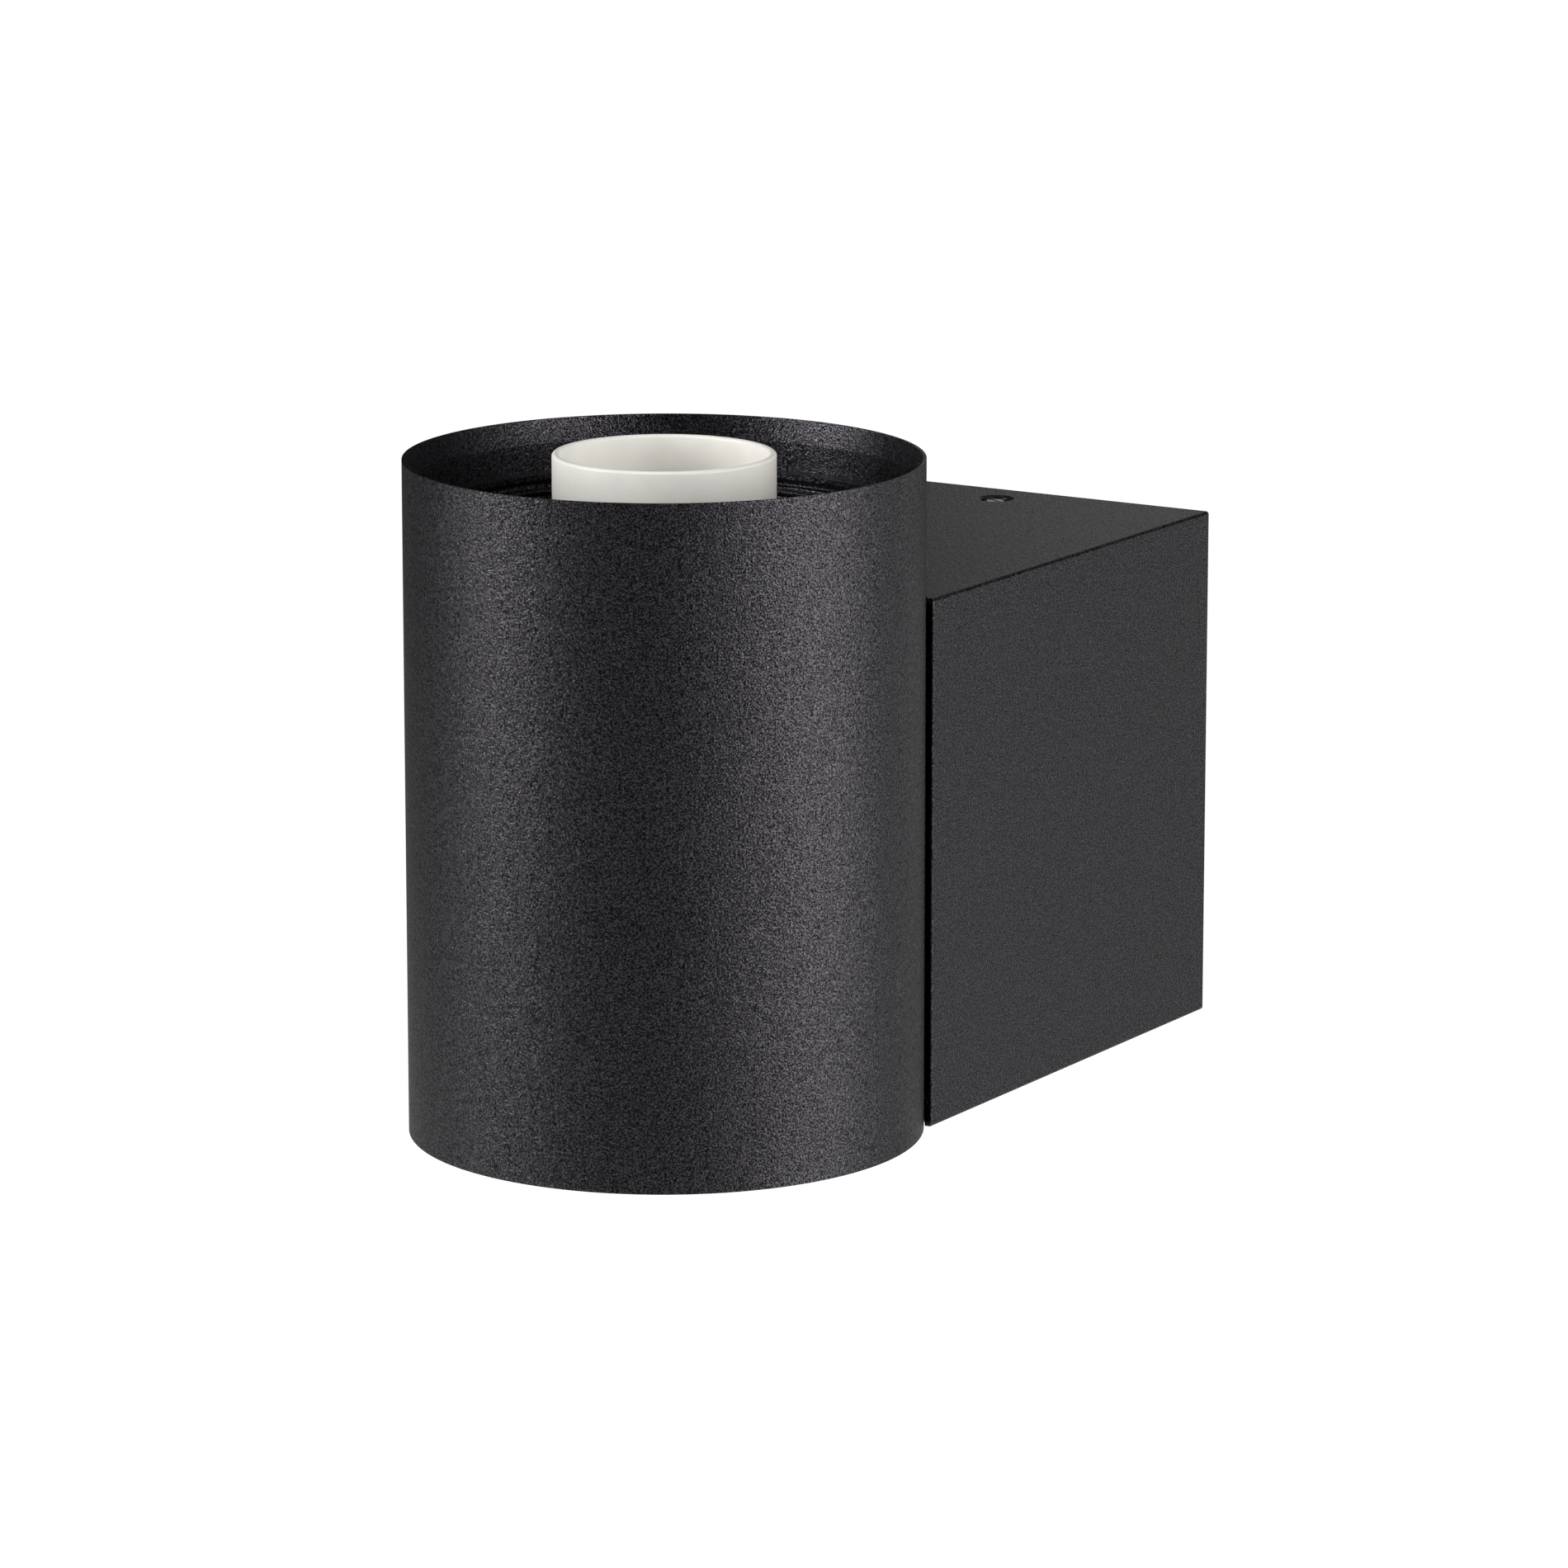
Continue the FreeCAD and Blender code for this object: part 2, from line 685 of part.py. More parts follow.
def terminal_block():
    """Three poles on a base strip, with round notches for the two fixing screws."""
    half = 1.5 * pole_pitch
    low = block_z - block_half_height
    high = block_z + block_half_height
    base_face = block_back + block_base
    block = box((-half, half), (block_back, base_face), (low, high))
    poles = []
    for x in (-pole_pitch, 0, pole_pitch):
        pole = box((x - pole_width / 2, x + pole_width / 2), (base_face - 1, block_face), (low, high))
        front = [e for e in pole.Edges if abs(e.CenterOfMass.y - block_face) < 0.01 and e.Length > 12]
        poles.append(pole.makeFillet(pole_round, front))
    block = block.fuse(poles).removeSplitter()
    holes = []
    for x in (-pole_pitch, 0, pole_pitch):
        holes.append(upright(insert_radius + 0.05, low - 1, high + 1, x, wire_y))
        for z in (-pole_screw_offset, pole_screw_offset):
            holes.append(crosswise(pole_screw_head_radius + 0.1, wire_y, block_face + 1, x, block_z + z))
    for x in (-pole_pitch / 2, pole_pitch / 2):
        holes.append(crosswise(block_screw_radius + 0.9, base_face, block_face + 1, x, block_z))
        holes.append(crosswise(block_screw_radius + 0.1, block_back - 1, base_face + 1, x, block_z))
    return block.cut(holes)


def terminal_insert(x):
    """The brass tube that joins the two leads of one pole."""
    low = block_z - block_half_height + insert_set_back
    high = block_z + block_half_height - insert_set_back
    insert = upright(insert_radius, low, high, x, wire_y)
    insert = insert.cut(upright(insert_bore, low - 1, high + 1, x, wire_y))
    for z in (-pole_screw_offset, pole_screw_offset):
        insert = insert.cut(crosswise(pole_screw_radius, wire_y, wire_y + 4, x, block_z + z))
    return insert


def pole_screw(x, z):
    shoulder = wire_y + 2.6
    end = wire_y + 4.0
    slot = (z - small_slot / 2, z + small_slot / 2)
    screw = crosswise(pole_screw_radius, wire_y + 0.6, shoulder, x, z)
    screw = screw.fuse(crosswise(pole_screw_head_radius, shoulder, end, x, z)).removeSplitter()
    return screw.cut(box((x - 2, x + 2), (end - 0.8, end + 1), slot))


def block_screw(x):
    screw = slotted_screw(block_screw_radius, 2.3, 1.6, block_base + 5.5, small_slot)
    screw.rotate(Vector(0, 0, 0), Vector(1, 0, 0), -90)
    screw.translate(Vector(x, block_back + block_base, block_z))
    return screw


def earth_tag():
    """A ring tag with its crimped barrel pointing down."""
    face = earth_y + tag_thickness
    barrel_y = earth_y + barrel_radius
    tag = crosswise(earth_post_radius, earth_y, face, earth_x, earth_z)
    neck = box((earth_x - 1.6, earth_x + 1.6), (earth_y, face), (earth_z - 7, earth_z))
    barrel = upright(barrel_radius, earth_z - 12, earth_z - 6, earth_x, barrel_y)
    tag = tag.fuse([neck, barrel]).removeSplitter()
    tag = tag.cut(upright(wire_radius + 0.15, earth_z - 13, earth_z - 9, earth_x, barrel_y))
    return tag.cut(crosswise(earth_screw_radius + 0.15, earth_y - 1, earth_y + 2, earth_x, earth_z))


def earth_screw():
    screw = slotted_screw(earth_screw_radius, 3.6, 2.4, 6.0)
    screw.rotate(Vector(0, 0, 0), Vector(1, 0, 0), -90)
    screw.translate(Vector(earth_x, earth_y + tag_thickness, earth_z))
    return screw


# What stays on the wall, and the two screws that clamp the light to it

def wall_plate():
    """A flat plate with two ears folded forward, one under each clamp screw."""
    middle = tab_face - plate_thickness / 2
    sheet = -plate_thickness / 2
    x = -tab_half_width
    points = [(x, -tab_length, middle), (x, sheet, middle), (x, sheet, -middle), (x, -tab_length, -middle)]
    plate = bent_strip(points, plate_thickness, plate_bend, x_range=(-tab_half_width, tab_half_width))
    flat = box(
        (-plate_half_width, plate_half_width),
        (-plate_thickness, 0),
        (-plate_half_height, plate_half_height),
    )
    corners = [e for e in flat.Edges if abs(e.tangentAt(e.FirstParameter).y) > 0.9]
    plate = plate.fuse(flat.makeFillet(plate_corner, corners)).removeSplitter()
    reach = slot_length / 2 - slot_radius
    for side in (-1, 1):
        x = side * slot_spacing / 2
        plate = plate.cut(box((x - reach, x + reach), (-5, 1), (-slot_radius, slot_radius)))
        plate = plate.cut(crosswise(slot_radius, -5, 1, x - reach, 0))
        plate = plate.cut(crosswise(slot_radius, -5, 1, x + reach, 0))
    return plate.cut(crosswise(cable_hole_radius, -5, 1, 0, cable_hole_z))


def cable_grommet():
    """A rubber bush in the wall plate's cable hole, with a tapered nose."""
    flange_front = -plate_thickness - cable_flange
    neck = crosswise(cable_hole_radius, -plate_thickness, 0, 0, cable_hole_z)
    flange = crosswise(cable_flange_radius, flange_front, -plate_thickness, 0, cable_hole_z)
    start = Vector(0, flange_front, cable_hole_z)
    nose = Part.makeCone(cable_hole_radius, cable_nose_radius, cable_nose_length, start, Vector(0, -1, 0))
    grommet = neck.fuse([flange, nose]).removeSplitter()
    return grommet.cut(crosswise(cable_bore, -10, 1, 0, cable_hole_z))


def clamp_screw(side):
    """A slotted grub screw; side is 1 for the one in the top face and -1 for the bottom."""
    outline = [
        (0, -clamp_length),
        (clamp_radius - clamp_point_chamfer, -clamp_length),
        (clamp_radius, -clamp_length + clamp_point_chamfer),
        (clamp_radius, -clamp_chamfer),
        (clamp_radius - clamp_chamfer, 0),
        (0, 0),
    ]
    screw = turned(outline, 0, 0)
    slot = (-clamp_slot_width / 2, clamp_slot_width / 2)
    screw = screw.cut(box((-3, 3), slot, (-clamp_slot_depth, 1)))
    screw.rotate(Vector(0, 0, 0), Vector(0, 0, 1), clamp_slot_turn)
    if side < 0:
        screw.rotate(Vector(0, 0, 0), Vector(1, 0, 0), 180)
    screw.translate(Vector(0, clamp_y, side * (arm_top - clamp_sink)))
    return screw


def build():
    poles = (-pole_pitch, 0, pole_pitch)
    offsets = (-pole_screw_offset, pole_screw_offset)
    pole_screws = [pole_screw(x, block_z + z) for x in poles for z in offsets]
    return {
        "tube_body": tube_body(),
        "bottom_cap": bottom_cap(),
        "arm_housing": arm_housing(),
        "back_seal": back_seal(),
        "saddle_gasket": saddle_gasket(),
        "tube_screws": Part.makeCompound([tube_screw(z) for z in (-tube_screw_z, tube_screw_z)]),
        "tube_washers": Part.makeCompound([tube_washer(z) for z in (-tube_screw_z, tube_screw_z)]),
        "wire_grommet": wire_grommet(),
        "holder_support": holder_support(),
        "support_screws": Part.makeCompound([support_screw(x) for x in (-strap_screw_x, strap_screw_x)]),
        "holder_screws": Part.makeCompound([holder_screw(y) for y in (-holder_screw_y, holder_screw_y)]),
        "lampholder_base": lampholder_base(),
        "lampholder_sleeve": lampholder_sleeve(),
        "insulator_core": insulator_core(),
        "screw_shell": screw_shell(),
        "centre_contact": centre_contact(),
        "contact_spring": contact_spring(),
        "centre_terminal": centre_terminal(),
        "shell_terminal": shell_terminal(),
        "holder_terminal_screws": Part.makeCompound([terminal_screw(x) for x in (live_x, neutral_x)]),
        "live_wire": live_wire(),
        "neutral_wire": neutral_wire(),
        "earth_wire": earth_wire(),
        "terminal_block": terminal_block(),
        "terminal_inserts": Part.makeCompound([terminal_insert(x) for x in poles]),
        "terminal_screws": Part.makeCompound(pole_screws),
        "block_screws": Part.makeCompound([block_screw(x) for x in (-pole_pitch / 2, pole_pitch / 2)]),
        "earth_tag": earth_tag(),
        "earth_screw": earth_screw(),
        "wall_plate": wall_plate(),
        "cable_grommet": cable_grommet(),
        "top_clamp_screw": clamp_screw(1),
        "bottom_clamp_screw": clamp_screw(-1),
    }


os.makedirs("parts", exist_ok=True)
for node, shape in build().items():
    shape.exportStep("parts/" + node + ".step")
    size = shape.BoundBox
    print(node, len(shape.Solids), shape.isValid(), round(shape.Volume, 1),
          round(size.XLength, 2), round(size.YLength, 2), round(size.ZLength, 2))
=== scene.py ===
import json
import math

import bmesh
import bpy
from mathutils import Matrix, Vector


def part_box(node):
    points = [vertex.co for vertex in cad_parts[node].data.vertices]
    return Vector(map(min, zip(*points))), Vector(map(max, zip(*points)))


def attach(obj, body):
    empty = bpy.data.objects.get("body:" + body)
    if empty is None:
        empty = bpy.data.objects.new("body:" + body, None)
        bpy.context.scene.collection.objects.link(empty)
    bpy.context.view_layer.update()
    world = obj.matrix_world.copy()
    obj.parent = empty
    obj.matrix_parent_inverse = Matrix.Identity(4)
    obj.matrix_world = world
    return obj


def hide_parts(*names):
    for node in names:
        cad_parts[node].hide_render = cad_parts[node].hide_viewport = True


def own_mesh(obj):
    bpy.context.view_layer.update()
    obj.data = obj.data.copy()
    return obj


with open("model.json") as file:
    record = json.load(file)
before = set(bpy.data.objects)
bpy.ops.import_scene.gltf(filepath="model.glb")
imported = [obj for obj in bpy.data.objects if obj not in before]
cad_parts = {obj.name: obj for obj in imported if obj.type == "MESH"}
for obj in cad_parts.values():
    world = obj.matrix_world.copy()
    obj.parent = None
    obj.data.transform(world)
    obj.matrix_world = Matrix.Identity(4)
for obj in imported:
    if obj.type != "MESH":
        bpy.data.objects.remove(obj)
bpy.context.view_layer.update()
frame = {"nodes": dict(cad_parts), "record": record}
nodes = frame["nodes"]
scene = bpy.context.scene
mm = 0.001
print("frame loaded:", len(nodes), "nodes")


# helpers that keep the node trees short

def plug(tree, socket, value):
    # a value is another node's socket, or a plain one that holds all over
    if isinstance(value, bpy.types.NodeSocket):
        tree.links.new(value, socket)
    else:
        socket.default_value = value


def addNode(tree, kind, inputs=None, **settings):
    node = tree.nodes.new(kind)
    for key, value in settings.items():
        setattr(node, key, value)
    for key, value in (inputs or {}).items():
        plug(tree, node.inputs[key], value)
    return node


def addMath(tree, operation, first, second=0.0, third=0.0):
    inputs = {0: first, 1: second, 2: third}
    return addNode(tree, "ShaderNodeMath", inputs, operation=operation).outputs[0]


def startMaterial(name):
    material = bpy.data.materials.new(name)
    material.use_nodes = True
    tree = material.node_tree
    place = addNode(tree, "ShaderNodeTexCoord").outputs["Object"]
    return material, tree, tree.nodes["Principled BSDF"], place


def dress(tree, shader, **values):
    # the names are the shader's own, with _ for a space
    for name, value in values.items():
        plug(tree, shader.inputs[name.replace("_", " ")], value)


def addNoise(tree, place, size, detail=2.0, roughness=0.5):
    # size is the real width of one blotch, in metres
    inputs = {"Vector": place, "Scale": 1 / size, "Detail": detail, "Roughness": roughness}
    return addNode(tree, "ShaderNodeTexNoise", inputs).outputs["Fac"]


def addCells(tree, place, size, feature="SMOOTH_F1"):
    inputs = {"Vector": place, "Scale": 1 / size}
    return addNode(tree, "ShaderNodeTexVoronoi", inputs, feature=feature).outputs["Distance"]


def stretch(tree, place, scale):
    return addNode(tree, "ShaderNodeMapping", {"Vector": place, "Scale": scale}).outputs["Vector"]


def addRamp(tree, value, *stops):
    # each stop is a position and a colour, or one grey level
    ramp = addNode(tree, "ShaderNodeValToRGB", {"Fac": value})
    elements = ramp.color_ramp.elements
    while len(elements) < len(stops):
        elements.new(0.5)
    for element, (position, colour) in zip(elements, stops):
        element.position = position
        element.color = (*colour, 1) if isinstance(colour, tuple) else (colour, colour, colour, 1)
    return ramp.outputs["Color"]


def spread(tree, noise, low, high):
    # nearly all of a noise lies between these two steps
    return addRamp(tree, noise, (0.3, low), (0.7, high))


def addMix(tree, share, first, second):
    # inputs 6 and 7 and output 2 are the node's colours, and the first may be another node's
    if isinstance(first, tuple):
        first = (*first, 1)
    inputs = {0: share, 6: first, 7: (*second, 1)}
    return addNode(tree, "ShaderNodeMix", inputs, data_type="RGBA").outputs[2]


def addBump(tree, height, depth, under=None):
    inputs = {"Height": height, "Distance": depth}
    if under is not None:
        inputs["Normal"] = under
    return addNode(tree, "ShaderNodeBump", inputs).outputs["Normal"]


# finishes

coatLook = {
    "grainSize": 0.29 * mm,
    "grainDepth": 0.12 * mm,
    "grainSteps": (0.34, 0.50, 0.66),   # between the grains, on their sides and on their tops
    # the tones are painted shade: darkest between the grains, lightest on their tops
    "paintedShadeTones": ((0.0012, 0.0010, 0.0013), (0.0044, 0.0041, 0.0047), (0.0160, 0.0149, 0.0171)),
    "shine": (0.06, 0.30, 0.80),
    "tint": (0.95, 0.90, 1.0, 1.0),
    "creaseSize": 0.70 * mm,
    "creaseShare": -0.5,
    "gloss": (0.24, 0.34),
    "speckSize": 0.26 * mm,
    "speckSteps": (0.70, 0.78),
    "speck": (0.0300, 0.0285, 0.0315),
    "rippleSize": 9 * mm,
    "rippleDepth": 0.04 * mm,
}


def blackCoat(look=coatLook):
    # sand-textured powder coat: rounded grains that shine more than the creases between them; the
    # colour carries painted shade, darkest between the grains and lightest on their tops
    material, tree, shader, place = startMaterial("blackCoat")
    grain = addNoise(tree, place, look["grainSize"], 1.0)
    creases = addCells(tree, place, look["creaseSize"])
    height = addMath(tree, "MULTIPLY_ADD", creases, look["creaseShare"], grain)
    # painted shade: the colour follows the grain height, darker down in the creases and lighter on
    # the grain tops
    colour = addRamp(tree, grain, *zip(look["grainSteps"], look["paintedShadeTones"]))
    specks = addNoise(tree, place, look["speckSize"], 0.0)
    share = addRamp(tree, specks, *zip(look["speckSteps"], (0.0, 1.0)))
    shine = addRamp(tree, grain, *zip(look["grainSteps"], look["shine"]))
    patches = addNoise(tree, place, look["creaseSize"], 1.0)
    ripple = addNoise(tree, place, look["rippleSize"], 1.0)
    slow = addBump(tree, ripple, look["rippleDepth"])
    dress(tree, shader,
          Base_Color=addMix(tree, share, colour, look["speck"]),
          Specular_IOR_Level=shine,
          Specular_Tint=look["tint"],
          Roughness=spread(tree, patches, *look["gloss"]),
          Normal=addBump(tree, height, look["grainDepth"], slow))
    return material


# the colour in the cell pits is painted shade, darker than on the cell walls
foamLook = {"cellSize": 0.5 * mm, "cellDepth": 0.25 * mm, "pitShade": (0.0, 0.008), "wall": (0.6, 0.05),
            "roughness": 0.95}


def foam(look=foamLook):
    material, tree, shader, place = startMaterial("foam")
    cells = addCells(tree, place, look["cellSize"], "F1")
    dress(tree, shader,
          # painted shade: darkest in the middle of each cell, where the bump is lowest
          Base_Color=addRamp(tree, cells, look["pitShade"], look["wall"]),
          Roughness=look["roughness"],
          Normal=addBump(tree, cells, look["cellDepth"]))
    return material


rubberLook = {"bloomSize": 3 * mm, "tone": (0.012, 0.024), "roughness": (0.6, 0.75),
              "grainSize": 0.3 * mm, "grainDepth": 0.02 * mm}


def blackRubber(look=rubberLook):
    material, tree, shader, place = startMaterial("blackRubber")
    bloom = addNoise(tree, place, look["bloomSize"], 4.0)
    grain = addNoise(tree, place, look["grainSize"])
    dress(tree, shader,
          Base_Color=spread(tree, bloom, *look["tone"]),
          Roughness=spread(tree, bloom, *look["roughness"]),
          Normal=addBump(tree, grain, look["grainDepth"]))
    return material


platedLook = {"streakSize": 0.35 * mm, "streakDepth": 0.004 * mm, "cloudSize": 6 * mm,
              "tintSteps": (0.32, 0.68), "shade": 0.78, "duller": 0.08, "brighter": -0.05}


def platedSteel(name, tint, roughness, brush=None, look=platedLook):
    # brush is the stretch of the rolling lines; without it the plating is a fine even blotch
    material, tree, shader, place = startMaterial(name)
    lines = stretch(tree, place, brush) if brush else place
    streak = addNoise(tree, lines, look["streakSize"], 3.0, 0.6)
    cloud = addNoise(tree, place, look["cloudSize"], 3.0)
    both = addMath(tree, "MULTIPLY_ADD", streak, 0.5, addMath(tree, "MULTIPLY", cloud, 0.5))
    low = tuple(look["shade"] * c for c in tint)
    rough = (roughness + look["duller"], roughness + look["brighter"])
    dress(tree, shader,
          Metallic=1.0,
          Base_Color=addRamp(tree, both, *zip(look["tintSteps"], (low, tint))),
          Roughness=spread(tree, both, *rough),
          Normal=addBump(tree, streak, look["streakDepth"]))
    return material


mouldedLook = {"cloudSize": 5 * mm, "shade": 0.94, "uneven": 0.05, "shellSize": 0.5 * mm,
               "shellDepth": 0.006 * mm, "softRadius": (1.0, 0.9, 0.75), "softDepth": 1.5 * mm}


def mouldedPlastic(name, colour, roughness, soft=0.0, look=mouldedLook):
    # a faint eggshell bump with slightly uneven gloss and, where soft is given, light in the wall
    material, tree, shader, place = startMaterial(name)
    cloud = addNoise(tree, place, look["cloudSize"], 3.0)
    shell = addNoise(tree, place, look["shellSize"])
    low = tuple(look["shade"] * c for c in colour)
    rough = (roughness + look["uneven"], roughness - look["uneven"])
    dress(tree, shader,
          Base_Color=spread(tree, cloud, low, colour),
          Roughness=spread(tree, cloud, *rough),
          Normal=addBump(tree, shell, look["shellDepth"]))
    if soft:
        dress(tree, shader, Subsurface_Weight=soft, Subsurface_Radius=look["softRadius"],
              Subsurface_Scale=look["softDepth"])
    return material


leadLook = {"green": (0.05, 0.26, 0.03), "yellow": (0.72, 0.55, 0.03), "stripeSteps": (0.66, 0.70),
            "roughness": 0.36}


def stripedLead(look=leadLook):
    # green insulation with a yellow stripe down each side
    material, tree, shader, place = startMaterial("greenInsulation")
    facing = addNode(tree, "ShaderNodeTexCoord").outputs["Normal"]
    side = addNode(tree, "ShaderNodeSeparateXYZ", {0: facing}).outputs[0]
    sideways = addMath(tree, "ABSOLUTE", side)
    stripe = addRamp(tree, sideways, *zip(look["stripeSteps"], (0.0, 1.0)))
    shell = addNoise(tree, place, mouldedLook["shellSize"])
    dress(tree, shader,
          Base_Color=addMix(tree, stripe, look["green"], look["yellow"]),
          Roughness=look["roughness"],
          Normal=addBump(tree, shell, mouldedLook["shellDepth"]))
    return material


ceramicLook = {"speckSize": 0.4 * mm, "speck": (0.25, (0.68, 0.66, 0.61)),
               "body": (0.45, (0.80, 0.78, 0.74)), "roughness": 0.42, "glaze": 0.3,
               "glazeRoughness": 0.2, "waveSize": 1.5 * mm, "waveDepth": 0.03 * mm}


def glazedCeramic(look=ceramicLook):
    material, tree, shader, place = startMaterial("glazedCeramic")
    specks = addNoise(tree, place, look["speckSize"])
    waves = addNoise(tree, place, look["waveSize"])
    dress(tree, shader,
          Base_Color=addRamp(tree, specks, look["speck"], look["body"]),
          Roughness=look["roughness"],
          Coat_Weight=look["glaze"],
          Coat_Roughness=look["glazeRoughness"],
          Normal=addBump(tree, waves, look["waveDepth"]))
    return material


materialOf = {
    "black_coat": blackCoat(),
    "foam": foam(),
    "black_rubber": blackRubber(),
    "zinc_steel": platedSteel("zincSteel", (0.60, 0.61, 0.63), 0.34, (1, 1, 12)),
    "stainless": platedSteel("stainless", (0.66, 0.65, 0.64), 0.28, (1, 10, 10)),
    "white_plastic": mouldedPlastic("whitePlastic", (0.80, 0.79, 0.75), 0.42),
    "milky_plastic": mouldedPlastic("milkyPlastic", (0.87, 0.85, 0.80), 0.40, soft=0.35),
    "white_ceramic": glazedCeramic(),
    "nickel": platedSteel("nickel", (0.68, 0.65, 0.60), 0.26, (1, 1, 0.2)),
    "brass": platedSteel("brass", (0.72, 0.52, 0.24), 0.30),
    "spring_steel": platedSteel("springSteel", (0.50, 0.50, 0.51), 0.30),
    "tinned_copper": platedSteel("tinnedCopper", (0.70, 0.68, 0.66), 0.38),
    "brown_insulation": mouldedPlastic("brownInsulation", (0.17, 0.075, 0.035), 0.36),
    "blue_insulation": mouldedPlastic("blueInsulation", (0.035, 0.12, 0.38), 0.36),
    "green_insulation": stripedLead(),
    "clear_plastic": mouldedPlastic("clearPlastic", (0.80, 0.80, 0.75), 0.30, soft=0.5),
}
for piece in frame["record"]["subparts"]:
    slots = nodes[piece["node"]].material_slots
    for slot in slots:
        slot.material = materialOf[piece["material_slot"]]
print("finishes:", len(materialOf))


# what the trees of the threads and of the spring have in common

def startTree(name, lengths, counts):
    tree = bpy.data.node_groups.new(name, "GeometryNodeTree")
    sizes = tree.interface
    for title in lengths:
        sizes.new_socket(title, in_out="INPUT", socket_type="NodeSocketFloat")
    for title in counts:
        sizes.new_socket(title, in_out="INPUT", socket_type="NodeSocketInt")
    sizes.new_socket("Finish", in_out="INPUT", socket_type="NodeSocketMaterial")
    sizes.new_socket("Geometry", in_out="OUTPUT", socket_type="NodeSocketGeometry")
    return tree, addNode(tree, "NodeGroupInput").outputs


def endTree(tree, geometry, finish):
    smooth = addNode(tree, "GeometryNodeSetShadeSmooth", {"Geometry": geometry})
    real = addNode(tree, "GeometryNodeRealizeInstances", {"Geometry": smooth.outputs[0]})
    painted = addNode(tree, "GeometryNodeSetMaterial",
                      {"Geometry": real.outputs[0], "Material": finish})
    addNode(tree, "NodeGroupOutput", {"Geometry": painted.outputs[0]})


def growPiece(name, tree, values, move):
    # runs a node tree once and keeps its result as a plain mesh, in place, with faces outward
    holder = bpy.data.objects.new(name + "Seed", bpy.data.meshes.new(name + "Seed"))
    scene.collection.objects.link(holder)
    modifier = holder.modifiers.new("grow", "NODES")
    modifier.node_group = tree
    for item in tree.interface.items_tree:
        if item.item_type == "SOCKET" and item.in_out == "INPUT":
            modifier[item.identifier] = values[item.name]
    graph = bpy.context.evaluated_depsgraph_get()
    mesh = bpy.data.meshes.new_from_object(holder.evaluated_get(graph), depsgraph=graph)
    holder.modifiers.remove(modifier)
    bpy.data.objects.remove(holder)
    for vertex in mesh.vertices:
        vertex.co += move
    shape = bmesh.new()
    shape.from_mesh(mesh)
    bmesh.ops.recalc_face_normals(shape, faces=shape.faces)
    shape.to_mesh(mesh)
    shape.free()
    mesh.name = name
    piece = bpy.data.objects.new(name, mesh)
    scene.collection.objects.link(piece)
    return piece


# threads: the rolled one of the screw shell, and the one cut in the mouth of the tube

